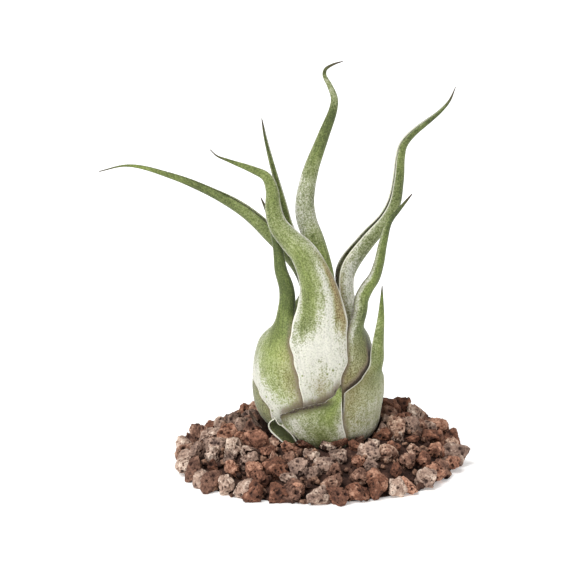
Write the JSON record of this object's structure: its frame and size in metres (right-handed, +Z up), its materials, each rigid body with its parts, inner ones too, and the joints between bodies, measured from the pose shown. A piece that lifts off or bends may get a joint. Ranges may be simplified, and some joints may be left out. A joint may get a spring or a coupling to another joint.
{
  "type": "air plant",
  "caption": "Bulbous rootless plant with twisting, rolled, tapering leaves, standing in a low round heap of porous lava gravel.",
  "frame": {"origin": "middle of the gravel heap's flat underside, on the surface that the object stands on", "axes": "+Z up through the bulb, +X to the viewer's right, -Y towards the viewer"},
  "size_m": [0.1475, 0.1154, 0.1638],
  "materials": {
    "leaf": "matte",
    "stem": "matte",
    "lava_gravel": "matte"
  },
  "bodies": {
    "root": {"leaf_front_low": "leaf", "leaf_right_low": "leaf", "leaf_back_left_low": "leaf", "leaf_front": "leaf", "leaf_back_right_low": "leaf", "leaf_left": "leaf", "leaf_right_short": "leaf", "leaf_far_left": "leaf", "leaf_right_long": "leaf", "leaf_tall": "leaf", "leaf_back_thin": "leaf", "leaf_small_front": "leaf", "stem": "stem", "gravel": "lava_gravel"}
  },
  "joints": []
}
